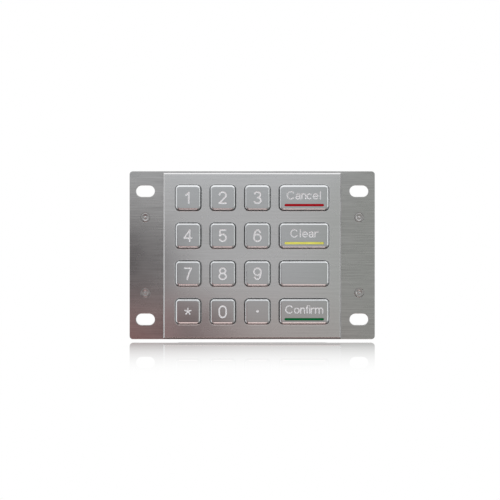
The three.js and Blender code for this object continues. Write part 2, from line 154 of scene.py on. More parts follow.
def slot_outline(length, width, x, z, steps=12):
    """A function for a slot with round ends."""
    def outline(grow=0.0):
        half = width / 2 + grow
        reach = (length - width) / 2
        points = []
        for side, start in ((1, -0.5), (-1, 0.5)):
            for step in range(steps + 1):
                angle = math.pi * (start + step / steps)
                points.append((x + side * reach + half * math.cos(angle), z + half * math.sin(angle)))
        return points
    return outline


def disc(radius, x, z, steps=40):
    """A function for a circle."""
    def outline(grow=0.0):
        turn = [2 * math.pi * k / steps for k in range(steps)]
        return [(x + (radius + grow) * math.cos(a), z + (radius + grow) * math.sin(a)) for a in turn]
    return outline


def hexagon(across, x, z, steps=8):
    """A function for a hexagon, with extra points along its sides."""
    def outline(grow=0.0):
        reach = (across / 2 + grow) / math.cos(math.pi / 6)
        tips = [(reach * math.cos(k * math.pi / 3), reach * math.sin(k * math.pi / 3)) for k in range(6)]
        points = []
        for (ax, az), (bx, bz) in zip(tips, tips[1:] + tips[:1]):
            for t in range(steps):
                points.append((x + ax + (bx - ax) * t / steps, z + az + (bz - az) * t / steps))
        return points
    return outline


def inside(point, outline):
    """Whether a point is inside an outline."""
    x, z = point
    hit = False
    for (ax, az), (bx, bz) in zip(outline, outline[1:] + outline[:1]):
        if (az > z) != (bz > z) and x < ax + (z - az) / (bz - az) * (bx - ax):
            hit = not hit
    return hit


# ---------- Mesh making ----------

class Shell:
    """Points and faces in millimetres, each face with a material number."""

    def __init__(self):
        self.points = []
        self.faces = []
        self.material = []

    def add(self, x, y, z):
        self.points.append((x, y, z))
        return len(self.points) - 1

    def face(self, corners, material=0):
        self.faces.append(tuple(corners))
        self.material.append(material)

    def ring(self, outline, y):
        return [self.add(x, y, z) for x, z in outline]

    def band(self, first, second, material=0):
        """Quads between two rings of the same number of points."""
        count = len(first)
        for k in range(count):
            n = (k + 1) % count
            self.face((first[k], second[k], second[n], first[n]), material)

    def loft(self, outlines, material=0):
        """Bands through (outline, y) pairs. Returns the first and the last ring."""
        rings = [self.ring(outline, y) for outline, y in outlines]
        for first, second in zip(rings, rings[1:]):
            self.band(first, second, material)
        return rings[0], rings[-1]

    def fill(self, outer, holes=(), material=0):
        """A flat face inside a ring, around the rings of its holes."""
        rings = [outer, *holes]
        flat = [(self.points[i][0], self.points[i][2]) for ring in rings for i in ring]
        index = [i for ring in rings for i in ring]
        edges = []
        start = 0
        for ring in rings:
            count = len(ring)
            edges += [(start + k, start + (k + 1) % count) for k in range(count)]
            start += count
        hole_outlines = [[(self.points[i][0], self.points[i][2]) for i in ring] for ring in holes]
        _, _, triangles, origin, _, _ = delaunay_2d_cdt([Vector(p) for p in flat], edges, [], 1, 1e-6)
        for triangle in triangles:
            corners = [index[origin[k][0]] for k in triangle]
            mid = [sum(self.points[i][a] for i in corners) / 3 for a in (0, 2)]
            if not any(inside(mid, hole) for hole in hole_outlines):
                self.face(corners, material)

    def cap(self, wall, holes=()):
        """Flat faces across a wall's two end rings, around the end rings of its holes."""
        for end in (0, 1):
            self.fill(wall[end], [hole[end] for hole in holes])

    def join(self, other):
        start = len(self.points)
        self.points += other.points
        self.faces += [tuple(i + start for i in face) for face in other.faces]
        self.material += other.material

    def piece(self, name, materials, flat_area=3.0):
        """A Blender object of these faces, in metres."""
        mesh = bpy.data.meshes.new(name)
        mesh.from_pydata([Vector(p) * MM for p in self.points], [], self.faces)
        for material in materials:
            mesh.materials.append(material)
        mesh.polygons.foreach_set("material_index", self.material)
        work = bmesh.new()
        work.from_mesh(mesh)
        bmesh.ops.remove_doubles(work, verts=work.verts, dist=1e-6)
        bmesh.ops.recalc_face_normals(work, faces=work.faces)
        work.to_mesh(mesh)
        work.free()
        shade(mesh, flat_area)
        project_brush_map(mesh)
        piece = bpy.data.objects.new(name, mesh)
        bpy.context.scene.collection.objects.link(piece)
        return piece


SMOOTH_LIMIT = math.cos(math.radians(52))
# A normal's share along an axis that counts as facing that way.
FACING = 0.7
BRUSH_SCALE = 10


def shade(mesh, flat_area):
    """Rounded edges shade smooth, and flat faces of at least flat_area square millimetres stay flat."""
    count = len(mesh.polygons)
    normals = np.zeros(count * 3)
    mesh.polygons.foreach_get("normal", normals)
    normals = normals.reshape(-1, 3)
    areas = np.array([p.area for p in mesh.polygons]) / MM**2
    planes = {}
    keys = []
    for p, n in zip(mesh.polygons, normals):
        key = (*np.round(n, 3), round(float(np.dot(n, p.center)) / MM, 2))
        keys.append(key)
        planes[key] = planes.get(key, 0.0) + areas[p.index]
    flat = [planes[key] >= flat_area for key in keys]
    around = [[] for _ in mesh.vertices]
    for p in mesh.polygons:
        for v in p.vertices:
            around[v].append(p.index)
    loop_normals = [None] * len(mesh.loops)
    for p in mesh.polygons:
        own = normals[p.index]
        for loop in p.loop_indices:
            if flat[p.index]:
                loop_normals[loop] = own
                continue
            near = [f for f in around[mesh.loops[loop].vertex_index] if normals[f] @ own > SMOOTH_LIMIT]
            flats = [f for f in near if flat[f]]
            if flats:
                loop_normals[loop] = normals[max(flats, key=lambda f: normals[f] @ own)]
            else:
                loop_normals[loop] = sum(normals[f] * max(areas[f], 1e-6) for f in near)
    mesh.polygons.foreach_set("use_smooth", [True] * count)
    mesh.normals_split_custom_set([Vector(n).normalized() for n in loop_normals])


def project_brush_map(mesh):
    """A UV map whose U runs along X, or along Y on the ends, for the direction of brushing."""
    layer = mesh.uv_layers.new(name="brush")
    for p in mesh.polygons:
        at_side = abs(p.normal.x) > FACING
        at_top = abs(p.normal.z) > FACING
        for loop in p.loop_indices:
            co = mesh.vertices[mesh.loops[loop].vertex_index].co * BRUSH_SCALE
            layer.data[loop].uv = (co.y if at_side else co.x, co.y if at_top else co.z)


def eased(outline, front, back, front_edge, back_edge, steps=5, grow=-1):
    """(outline, y) pairs of a wall with rounded front and back edges."""
    quarter = [math.pi / 2 * k / steps for k in range(steps + 1)]
    rows = [(outline(grow * front_edge * (1 - math.sin(a))), front + front_edge * (1 - math.cos(a)))
            for a in quarter]
    rows += [(outline(grow * back_edge * (1 - math.cos(a))), back - back_edge * (1 - math.sin(a)))
             for a in quarter]
    return rows


def eased_hole(outline, front, back, edge):
    """(outline, y) pairs of a hole's wall, whose lips are rounded."""
    return eased(outline, front, back, edge, edge, steps=3, grow=1)


def slab(outline, front, back, front_edge, back_edge, holes=(), hole_edge=0.15):
    """A plate with rounded edges, and holes with rounded lips."""
    shell = Shell()
    wall = shell.loft(eased(outline, front, back, front_edge, back_edge))
    shell.cap(wall, [shell.loft(eased_hole(hole, front, back, hole_edge)) for hole in holes])
    return shell


def closed_loft(rows):
    """A solid through (outline, y) pairs, with flat ends."""
    shell = Shell()
    shell.cap(shell.loft(rows))
    return shell


def turned(profile, x, z, steps=40):
    """A round piece about a line along Y, from (radius, y) pairs that start and end on that line."""
    shell = Shell()
    rings = []
    for radius, y in profile:
        if radius < 1e-6:
            rings.append([shell.add(x, y, z)])
        else:
            rings.append(shell.ring(disc(radius, x, z, steps)(), y))
    for first, second in zip(rings, rings[1:]):
        if len(first) == 1 or len(second) == 1:
            tip, ring = (first[0], second) if len(first) == 1 else (second[0], first)
            for k in range(len(ring)):
                shell.face((tip, ring[k], ring[(k + 1) % len(ring)]))
        else:
            shell.band(first, second)
    return shell


def thread(radius, pitch, front, back, x, z, steps=28, rows_per_turn=6):
    """A threaded rod, closed at both ends, whose thread runs out at the ends."""
    depth = 0.6 * pitch
    count = max(int((back - front) / pitch * rows_per_turn), 4)
    shell = Shell()
    rings = []
    for row in range(count + 1):
        y = front + (back - front) * row / count
        runout = min(row, count - row) / rows_per_turn
        ring = []
        for k in range(steps):
            angle = 2 * math.pi * k / steps
            phase = (y / pitch - k / steps) % 1.0
            groove = depth * (1 - abs(2 * phase - 1))
            r = radius - groove if runout >= 1 else radius - depth * (1 - 0.5 * runout)
            ring.append(shell.add(x + r * math.cos(angle), y, z + r * math.sin(angle)))
        rings.append(ring)
    for first, second in zip(rings, rings[1:]):
        shell.band(first, second)
    shell.fill(rings[0])
    shell.fill(rings[-1])
    return shell


def place(piece, slot, *replaced, body=CHASSIS):
    """Puts a piece on a body and hides the CAD nodes that it stands for. The slot is not used."""
    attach(piece, body)
    if replaced:
        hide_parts(*replaced)
    return piece


# ---------- Legends: strokes in a box from -1 to 1 each way ----------

def arc(x, z, rx, rz, start, end, steps=14):
    """Points along part of an ellipse, from one angle in degrees to another."""
    angles = [math.radians(start + (end - start) * k / steps) for k in range(steps + 1)]
    return [(x + rx * math.cos(a), z + rz * math.sin(a)) for a in angles]


def loop(x, z, rx, rz, steps=28):
    """A whole ellipse, closed by repeating its first point."""
    return arc(x, z, rx, rz, 0, 360, steps)


OVAL = arc(0, 0.3, 1, 0.7, 0, 180) + arc(0, -0.3, 1, 0.7, 180, 360)
SIX = [loop(0, -0.38, 1, 0.62), arc(0.05, -0.38, 1.05, 1.38, 180, 45)]
ARCH = arc(0, 0.2, 1, 0.8, 180, 0)

# Each glyph is its strokes, and how wide it is as a share of its height.
GLYPHS = {
    "0": ([OVAL + OVAL[:1]], 0.62),
    "1": ([[(-0.75, 0.45), (-0.1, 0.68), (0.3, 1), (0.3, -1)]], 0.48),
    "2": ([arc(0, 0.42, 0.95, 0.58, 172, -28) + [(-1, -1), (1, -1)]], 0.62),
    "3": ([arc(0, 0.5, 0.85, 0.5, 155, -90) + arc(0, -0.5, 1, 0.5, 90, -155)], 0.62),
    "4": ([[(0.45, -1), (0.45, 1), (-1, -0.42), (1, -0.42)]], 0.68),
    "5": ([[(0.85, 1), (-0.7, 1), (-0.88, 0.02)] + arc(0, -0.37, 1, 0.63, 148, -150)], 0.6),
    "6": (SIX, 0.62),
    "7": ([[(-1, 1), (1, 1), (0.4, 0.25), (0, -0.42), (-0.2, -1)]], 0.6),
    "8": ([loop(0, 0.53, 0.82, 0.47), loop(0, -0.47, 1, 0.53)], 0.62),
    "9": ([[(-x, -z) for x, z in stroke] for stroke in SIX], 0.62),
    "C": ([arc(0, 0, 1, 1, 40, 320, 24)], 0.98),
    "a": ([arc(0, 0.45, 0.8, 0.55, 165, 0) + [(0.8, -0.75), (1, -1)],
           [(0.8, 0.15)] + arc(-0.1, -0.5, 0.82, 0.5, 90, 270) + [(0.3, -0.95), (0.8, -0.55)]], 0.86),
    "n": ([[(-1, 1), (-1, -1)], ARCH + [(1, -1)]], 0.76),
    "c": ([arc(0, 0, 1, 1, 42, 318, 20)], 0.86),
    "e": ([[(-1, 0.03), (1, 0.03)] + arc(0, 0, 1, 1, 8, 318, 24)], 0.9),
    "l": ([[(0, 1), (0, -1)]], 0.24),
    "r": ([[(-1, 1), (-1, -1)], arc(0.9, -0.05, 1.9, 1, 175, 80)], 0.54),
    "o": ([loop(0, 0, 1, 1)], 0.9),
    "f": ([arc(0.75, 0.68, 0.75, 0.32, 80, 180, 8) + [(0, -1)], [(-0.9, 0.36), (0.8, 0.36)]], 0.26),
    "i": ([[(0, 0.42), (0, -1)], [(0, 0.98), (0, 0.94)]], 0.0),
    "m": ([[(-1, 1), (-1, -1)], [((x - 1) / 2, z) for x, z in ARCH] + [(0, -1)],
           [((x + 1) / 2, z) for x, z in ARCH] + [(1, -1)]], 1.4),
}
TALL = set("0123456789Clfi")
X_HEIGHT = 0.7


def legend_strokes(text, height, stroke, spacing, x, z):
    """The strokes of a line of text about a middle, each with points in millimetres."""
    strokes = []
    pen = 0.0
    line = height - stroke
    for letter in text:
        shapes, share = GLYPHS[letter]
        tall = line if letter in TALL else line * X_HEIGHT
        half = share * tall / 2
        pen += half
        lift = tall / 2 - line / 2
        strokes += [[(pen + px * half, lift + pz * tall / 2) for px, pz in shape] for shape in shapes]
        pen += half + spacing + stroke
    width = pen - spacing - stroke
    return [cleaned([(x + px - width / 2, z + pz) for px, pz in shape]) for shape in strokes]


def cleaned(path):
    """A path without points that repeat the one before."""
    return [path[0]] + [b for a, b in zip(path, path[1:]) if math.dist(a, b) > 1e-3]


def smooth_runs(path, sharpest=0.75):
    """A path split at its sharp corners, so that each run can be offset without folding."""
    runs = [[path[0]]]
    for before, point, after in zip(path, path[1:], path[2:]):
        runs[-1].append(point)
        ways = [math.atan2(q[1] - p[1], q[0] - p[0]) for p, q in ((before, point), (point, after))]
        turn = abs((ways[1] - ways[0] + math.pi) % (2 * math.pi) - math.pi)
        if turn > sharpest:
            runs.append([point])
    runs[-1].append(path[-1])
    return runs


def beside(path, offset):
    """The line at an offset to the left of a path, mitred at its corners, and whether it is closed."""
    closed = math.dist(path[0], path[-1]) < 1e-6
    points = path[:-1] if closed else path
    count = len(points)
    sides = []
    for (ax, az), (bx, bz) in zip(points, points[1:] + points[:1] if closed else points[1:]):
        length = math.hypot(bx - ax, bz - az)
        sides.append((-(bz - az) / length, (bx - ax) / length))
    line = []
    for k, (px, pz) in enumerate(points):
        before = sides[k - 1] if closed or k > 0 else sides[0]
        after = sides[k] if k < len(sides) else sides[-1]
        nx, nz = before[0] + after[0], before[1] + after[1]
        reach = 2 * offset / max(nx * nx + nz * nz, 1.2)
        line.append((px + nx * reach, pz + nz * reach))
    return line, closed


def band_edges(path, radius, cap_steps=6):
    """The closed outlines at a radius around a path: one around an open path, two along a closed one."""
    left, closed = beside(path, radius)
    right, _ = beside(path, -radius)
    if closed:
        return [left, right]

    def cap(end, side):
        start = math.atan2(side[1] - end[1], side[0] - end[0])
        turn = [start - math.pi * k / cap_steps for k in range(1, cap_steps)]
        return [(end[0] + radius * math.cos(a), end[1] + radius * math.sin(a)) for a in turn]

    return [left + cap(path[-1], left[-1]) + right[::-1] + cap(path[0], right[0])]


def distance(point, paths):
    """How far a point is from the nearest of some paths."""
    best = 1e9
    px, pz = point
    for path in paths:
        a = np.array(path[:-1])
        d = np.array(path[1:]) - a
        t = np.clip(((px - a[:, 0]) * d[:, 0] + (pz - a[:, 1]) * d[:, 1]) / (d**2).sum(1).clip(1e-9), 0, 1)
        best = min(best, float(np.hypot(a[:, 0] + t * d[:, 0] - px, a[:, 1] + t * d[:, 1] - pz).min()))
    return best


def engraved_fill(shell, outer, cuts, front):
    """Fills a key's flat front, sunk along the cuts.

    Each cut is (paths, half width, width of its sloping side, depth, material).
    """
    points = [(shell.points[i][0], shell.points[i][2]) for i in outer]
    edges = [(k, (k + 1) % len(outer)) for k in range(len(outer))]
    for paths, half, slope, _, _ in cuts:
        for path in (run for whole in paths for run in smooth_runs(whole)):
            for radius in (half, half - slope):
                for outline in band_edges(path, radius):
                    start = len(points)
                    points += outline
                    edges += [(start + k, start + (k + 1) % len(outline)) for k in range(len(outline))]
    made, _, triangles, origin, _, _ = delaunay_2d_cdt([Vector(p) for p in points], edges, [], 1, 1e-5)

    def sunk(point):
        deepest, material = 0.0, 0
        for paths, half, slope, depth, number in cuts:
            share = min(max((half - distance(point, paths)) / slope, 0.0), 1.0)
            if share * depth > deepest:
                deepest, material = share * depth, number
        return deepest, material

    index = []
    for k, point in enumerate(made):
        rim = [i for i in origin[k] if i < len(outer)]
        index.append(outer[rim[0]] if rim else shell.add(point[0], front + sunk(point)[0], point[1]))
    for triangle in triangles:
        mid = [sum(made[k][a] for k in triangle) / 3 for a in (0, 1)]
        shell.face([index[k] for k in triangle], sunk(mid)[1])


# ---------- Materials ----------

def blend(tree, factor, first, second):
    """Two colours mixed by a factor, each of them a socket or plain numbers."""
    node = tree.nodes.new("ShaderNodeMix")
    node.data_type = "RGBA"
    for number, value in ((0, factor), (6, first), (7, second)):
        if isinstance(value, tuple):
            node.inputs[number].default_value = (*value, 1)
        elif isinstance(value, float):
            node.inputs[number].default_value = value
        else:
            tree.links.new(value, node.inputs[number])
    return node.outputs[2]


def add_node(tree, kind, **inputs):
    """A new node with some of its inputs set."""
    node = tree.nodes.new(kind)
    for name, value in inputs.items():
        node.inputs[name.replace("_", " ")].default_value = value
    return node


def tone(colour, share):
    """A lighter or a darker share of a colour."""
    return tuple(min(c * share, 1.0) for c in colour)


class Nodes:
    """A material's node tree, with short ways to add and link nodes."""

    def __init__(self, name):
        self.material = bpy.data.materials.new(name)
        self.material.use_nodes = True
        self.tree = self.material.node_tree
        self.shader = self.tree.nodes["Principled BSDF"]
        self.coordinates = self.add("ShaderNodeTexCoord").outputs["Object"]

    def add(self, kind, **inputs):
        return add_node(self.tree, kind, **inputs)

    def link(self, source, target):
        self.tree.links.new(source, target)

    def noise(self, scale, detail=3.0, stretch=(1, 1, 1), roughness=0.5):
        """Noise over the object, whose scale is in features a metre."""
        mapping = self.add("ShaderNodeMapping", Scale=stretch)
        self.link(self.coordinates, mapping.inputs["Vector"])
        noise = self.add("ShaderNodeTexNoise", Scale=scale, Detail=detail, Roughness=roughness)
        self.link(mapping.outputs["Vector"], noise.inputs["Vector"])
        return noise.outputs["Fac"]

    def spread(self, value, low, high):
        """Noise, most of which lies from 0.3 to 0.7, spread from one value to another."""
        node = self.add("ShaderNodeMapRange", From_Min=0.3, From_Max=0.7, To_Min=low, To_Max=high)
        self.link(value, node.inputs["Value"])
        return node.outputs["Result"]

    def mottled(self, colour, low, high, scale, detail):
        """A colour that drifts between two shares of itself."""
        cloud = self.spread(self.noise(scale, detail), 0, 1)
        return blend(self.tree, cloud, tone(colour, low), tone(colour, high))

    def bump(self, height, depth_mm, strength=1.0, onto=None):
        """Bump of so many millimetres from a height between 0 and 1."""
        node = self.add("ShaderNodeBump", Strength=strength, Distance=depth_mm * MM)
        self.link(height, node.inputs["Height"])
        if onto is not None:
            self.link(onto, node.inputs["Normal"])
        return node.outputs["Normal"]

    def set(self, **inputs):
        for name, value in inputs.items():
            socket = self.shader.inputs[name.replace("_", " ")]
            if hasattr(value, "is_linked"):
                self.link(value, socket)
            else:
                socket.default_value = value
        return self.material


def brushed(name, colour, roughness, streak=0.08, depth=0.004, anisotropy=0.5):
    """Brushed stainless steel: fine lines along X, faint longer streaks, and soft handling marks."""
    nodes = Nodes(name)
    tree = nodes.tree
    stretch = (0.02, 1.0, 1.0)
    fine = nodes.noise(9000, 2.0, stretch)
    medium = nodes.noise(1500, 4.0, stretch, 0.65)
    marks = nodes.noise(60, 3.0)
    half = streak / 2
    lines = blend(tree, nodes.spread(fine, 0, 1), tone(colour, 1 - half), tone(colour, 1 + half))
    streaks = blend(tree, nodes.spread(medium, 0, 1), tone(colour, 1 - streak), tone(colour, 1 + streak))
    shine = nodes.spread(marks, roughness - 0.03, roughness + 0.04)
    bump = nodes.bump(medium, depth, 0.7, nodes.bump(fine, depth * 0.4, 0.6))
    nodes.set(Base_Color=blend(tree, 0.5, lines, streaks), Metallic=1.0, Roughness=shine, Normal=bump)
    if anisotropy:
        tangent = nodes.add("ShaderNodeTangent")
        tangent.direction_type = "UV_MAP"
        tangent.uv_map = "brush"
        nodes.link(tangent.outputs["Tangent"], nodes.shader.inputs["Tangent"])
        nodes.shader.inputs["Anisotropic"].default_value = anisotropy
    return nodes.material


def satin(name, colour, roughness, grain=4000, depth=0.006, mottle=0.06):
    """A plain or plated metal or a casting: an even fine grain with faint mottling."""
    nodes = Nodes(name)
    grain_height = nodes.noise(grain, 3.0)
    base = nodes.mottled(colour, 1 - mottle, 1 + mottle, 120, 4.0)
    shine = nodes.spread(grain_height, roughness - 0.04, roughness + 0.06)
    return nodes.set(Base_Color=base, Metallic=1.0, Roughness=shine,
                     Normal=nodes.bump(grain_height, depth, 0.8))


def moulded(name, colour, roughness, grain=2500, depth=0.01, mottle=0.12, specular=0.5):
    """Moulded plastic or rubber: fine texture and slight changes of tone."""
    nodes = Nodes(name)
    grain_height = nodes.noise(grain, 4.0)
    base = nodes.mottled(colour, 1 - mottle, 1 + mottle, 90, 3.0)
    shine = nodes.spread(grain_height, roughness - 0.05, roughness + 0.07)
    nodes.shader.inputs["Specular IOR Level"].default_value = specular
    return nodes.set(Base_Color=base, Metallic=0.0, Roughness=shine,
                     Normal=nodes.bump(grain_height, depth, 0.7))


def circuit(name, colour):
    """Solder mask over copper tracks: a block pattern of tracks a little lighter and raised."""
    nodes = Nodes(name)
    tracks = nodes.add("ShaderNodeTexBrick", Scale=260, Mortar_Size=0.03)
    tracks.offset = 0.37
    nodes.link(nodes.coordinates, tracks.inputs["Vector"])
    cloud = nodes.noise(300, 2.0)
    base = blend(nodes.tree, tracks.outputs["Fac"], tone(colour, 0.85), tone(colour, 1.6))
    return nodes.set(Base_Color=base, Metallic=0.0, Roughness=nodes.spread(cloud, 0.3, 0.45),
                     Normal=nodes.bump(tracks.outputs["Fac"], 0.03, 0.6))


FLANGE_STEEL = brushed("flange_steel", (0.50, 0.495, 0.49), 0.27, streak=0.34, depth=0.005)
FACE_STEEL = brushed("face_steel", (0.66, 0.66, 0.66), 0.26, streak=0.1, depth=0.003)
KEY_STEEL = brushed("key_steel", (0.585, 0.597, 0.602), 0.2, streak=0.06, depth=0.002)
# Darker steel for the face plate's bevelled edge: painted shade.
EDGE_PAINTED_SHADE = brushed("edge_painted_shade", (0.52, 0.52, 0.52), 0.24, streak=0.03, depth=0.0005, anisotropy=0)
# Lighter steel for the lip round each key window: a painted highlight.
LIP_PAINTED_HIGHLIGHT = brushed("lip_painted_highlight", (0.74, 0.74, 0.74), 0.24, streak=0.05, depth=0.001, anisotropy=0)
# Dark steel for the gap round each key: painted shade.
GAP_PAINTED_SHADE = satin("gap_painted_shade", (0.3, 0.29, 0.285), 0.5, grain=3000, depth=0.004)
LEGEND_STEEL = moulded("legend_fill", (0.78, 0.795, 0.81), 0.6, grain=5000, depth=0.006, mottle=0.04)
COVER_STEEL = brushed("cover_steel", (0.6, 0.61, 0.62), 0.3, streak=0.08, depth=0.005)
FASTENER_STEEL = satin("fastener_steel", (0.68, 0.68, 0.67), 0.24, grain=6000, depth=0.003)
STUD_STEEL = satin("stud_steel", (0.45, 0.44, 0.435), 0.24, grain=5000, depth=0.004)
CASTING = satin("cast_aluminium", (0.46, 0.465, 0.47), 0.5, grain=2200, depth=0.03, mottle=0.08)
ZINC = satin("plated_steel", (0.66, 0.67, 0.62), 0.35, grain=900, mottle=0.15)
NICKEL = satin("nickel_plate", (0.72, 0.69, 0.62), 0.22, grain=5000, depth=0.003)
GOLD = satin("gold_plate", (0.85, 0.62, 0.25), 0.2, grain=5000, depth=0.002)
RED = moulded("red_inlay", (0.37, 0.0, 0.008), 0.5, depth=0.004, specular=0.12)
YELLOW = moulded("yellow_inlay", (0.75, 0.74, 0.145), 0.5, depth=0.004, specular=0.12)
GREEN = moulded("green_inlay", (0.0, 0.12, 0.034), 0.5, depth=0.004, specular=0.09)
NYLON = moulded("nylon", (0.02, 0.02, 0.022), 0.5)
SILICONE = moulded("silicone", (0.045, 0.048, 0.055), 0.65, grain=1800)
RUBBER = moulded("gasket_rubber", (0.012, 0.012, 0.012), 0.75, grain=1500, depth=0.04)
COMPONENT = moulded("component_plastic", (0.012, 0.012, 0.013), 0.45, grain=3500)
BOARD = circuit("circuit_board", (0.01, 0.075, 0.04))


# ---------- Front ----------

def make_flange():
    """The slotted flange, with a shallow seat for each stud's head."""
    low, high = box_mm("mounting_flange")
    outline = round_rect(high.x - low.x, high.z - low.z, FLANGE_CORNER)
    holes = [slot_outline(*SLOT, x, z) for x, z in SLOT_PLACES]
    holes.append(round_rect(*FLANGE_WINDOW))
    shell = Shell()
    wall = shell.loft(eased(outline, FLANGE_FRONT, FLANGE_BACK, 0.12, 0.2, 4))
    ends = [shell.loft(eased_hole(hole, FLANGE_FRONT, FLANGE_BACK, 0.3)) for hole in holes]
    for place_name in PLACES:
        x, z = middle("flange_stud_" + place_name)
        seat = disc(STUD_HEAD + 0.03, x, z)
        hole = disc(STUD_SHANK + 0.08, x, z)
        floor = FLANGE_FRONT + 1.0
        ends.append(shell.loft([(seat(0.2), FLANGE_FRONT), (seat(0.08), FLANGE_FRONT + 0.04),
                                (seat(), FLANGE_FRONT + 0.15), (seat(), floor),
                                (hole(), floor), (hole(), FLANGE_BACK)]))
    shell.cap(wall, ends)
    place(shell.piece("flange", [FLANGE_STEEL]), "flange_steel", "mounting_flange")


def key_outline(name):
    """The outline of a key's cap, from the rim of its CAD node."""
    x, z = middle(name)
    extent = size(name)
    return round_rect(extent.x - 2 * RIM_REACH, extent.z - 2 * RIM_REACH, KEY_CORNER, x, z)


def window_wall(shell, key, lip=0.75, steps=7):
    """The wall of a key's window: a lip in lighter steel as a painted highlight, then the gap in dark
    steel as painted shade. Returns its first and last ring.
    """
    quarter = [math.pi / 2 * k / steps for k in range(steps + 1)]
    rows = [(key(KEY_GAP + lip * (1 - math.sin(a))), FACE_FRONT + lip * (1 - math.cos(a)))
            for a in quarter]
    # The lip is in lighter steel, as a painted highlight.
    mouth, throat = shell.loft(rows, 1)
    # The throat and the ledge behind it are in dark steel, as painted shade.
    ledge, end = shell.loft([(key(KEY_GAP), 0.0), (key(KEY_GAP + 0.05), 0.0)], 2)
    shell.band(throat, ledge, 2)
    return mouth, end


def make_face_plate():
    """The raised plate: bevelled outer edges in darker steel as painted shade, and a window with a narrow
    lip in lighter steel as a painted highlight for each key.
    """
    extent = size("face_plate")
    x, z = middle("face_plate")
    outline = round_rect(extent.x, extent.z, FACE_CORNER, x, z, steps=4, smallest=0.1)
    shell = Shell()
    rows = [(outline(-inset), FACE_FRONT + drop) for inset, drop in FACE_BEVEL]
    rows += [(outline(), -0.1), (outline(-0.1), 0.0)]
    # The bevelled edge is in darker steel, as painted shade.
    wall = shell.loft(rows, 3)
    shell.cap(wall, [window_wall(shell, key_outline(name)) for name in KEY_LEGENDS])
    piece = shell.piece("raised_face", [FACE_STEEL, LIP_PAINTED_HIGHLIGHT, GAP_PAINTED_SHADE, EDGE_PAINTED_SHADE])
    place(piece, "face_steel", "face_plate")
    back = depths("face_plate")[1]
    for place_name in PLACES:
        x, z = middle("standoff_" + place_name)
        stud = thread(1.5, M3_PITCH, 0.0, back, x, z, steps=20)
        place(stud.piece("weld_stud_" + place_name, [FASTENER_STEEL]), "fastener_steel")


def make_flange_stud(place_name):
    """A flush stud: a dished head pressed level with the flange, and a threaded shank."""
    node = "flange_stud_" + place_name
    x, z = middle(node)
    front, back = depths(node)
    neck = front + 0.9
    foot = front + 2.4
    profile = [(0, front - 0.02), (0.35, front), (0.6, front + 0.14), (0.9, front + 0.34),
               (1.2, front + 0.37), (1.5, front + 0.22), (1.8, front + 0.04), (2.1, front - 0.02),
               (2.4, front + 0.03), (2.65, front + 0.16), (STUD_HEAD, front + 0.3),
               (STUD_HEAD, neck), (1.9, neck), (1.9, foot), (0, foot)]
    head = turned(profile, x, z)
    head.join(thread(STUD_SHANK, M4_PITCH, front + 1.9, back, x, z))
    place(head.piece("pressed_stud_" + place_name, [STUD_STEEL]), "fastener_steel", node)


DIGIT = {"height": 7.5, "stroke": 0.9, "spacing": 0.8}
WORD = {"height": 4.95, "stroke": 0.68, "spacing": 0.27}
DIGIT_DROP = 0.05
WORD_RAISE = 1.35
STAR_RAISE = 0.2
STAR_REACH = 1.9
STAR_ARMS = [[(0, 0), (math.sin(k * 2 * math.pi / 5), math.cos(k * 2 * math.pi / 5))] for k in range(5)]
POINT_RAISE = 0.3
POINT_HALF = 0.05
BAR_HALF = 0.7
# The numbers of a key's materials: bare metal, and a legend's filling.
BARE = 0
FILLED = 1
# Each kind of cut: its half width, the width of its sloping side, its depth and its material.
DIGIT_CUT = (DIGIT["stroke"] / 2, 0.16, 0.22, FILLED)
WORD_CUT = (WORD["stroke"] / 2, 0.13, 0.26, FILLED)
STAR_CUT = (0.36, 0.13, 0.22, FILLED)
POINT_CUT = (0.75, 0.2, 0.25, FILLED)
BAR_CUT = (BAR_HALF + 0.04, 0.06, 0.4, BARE)


def key_cuts(name, legend):
    """What is cut into a key's front: its legend, and the groove for its coloured bar."""
    x, z = middle(name)
    cuts = []
    if legend == "*":
        arms = [[(x + STAR_REACH * px, z + STAR_RAISE + STAR_REACH * pz) for px, pz in arm]
                for arm in STAR_ARMS]
        cuts.append((arms, *STAR_CUT))
    elif legend == ".":
        point = [(x + side * POINT_HALF, z + POINT_RAISE) for side in (-1, 1)]
        cuts.append(([point], *POINT_CUT))
    elif len(legend) == 1:
        cuts.append((legend_strokes(legend, x=x, z=z - DIGIT_DROP, **DIGIT), *DIGIT_CUT))
    elif legend:
        cuts.append((legend_strokes(legend, x=x, z=z + WORD_RAISE, **WORD), *WORD_CUT))
    if name in INLAYS:
        bar_x, bar_z = middle(INLAYS[name])
        reach = size(INLAYS[name]).x / 2 - BAR_HALF
        cuts.append(([[(bar_x - reach, bar_z), (bar_x + reach, bar_z)]], *BAR_CUT))
    return cuts


def make_key(name, legend):
    """A key: a cap with rounded edges and a sunk legend, and the rim that holds it behind the plate."""
    outline = key_outline(name)
    shell = Shell()
    rows = [(outline(-inset), KEY_FRONT + drop) for inset, drop in KEY_BEVEL]
    first, waist = shell.loft([*rows, (outline(), GAP_SHADE)])
    rim = [(outline(), RIM_FRONT), (outline(RIM_REACH - 0.1), RIM_FRONT),
           (outline(RIM_REACH), RIM_FRONT + 0.1), (outline(RIM_REACH), KEY_BACK - 0.1),
           (outline(RIM_REACH - 0.1), KEY_BACK)]
    # The side below GAP_SHADE and the rim are in dark steel, as painted shade.
    start, last = shell.loft(rim, 2)
    shell.band(waist, start, 2)
    engraved_fill(shell, first, key_cuts(name, legend), KEY_FRONT)
    shell.fill(last, material=2)
    piece = shell.piece(name.replace("key_", "keycap_"), [KEY_STEEL, LEGEND_STEEL, GAP_PAINTED_SHADE])
    place(piece, "key_steel", name, body=name)


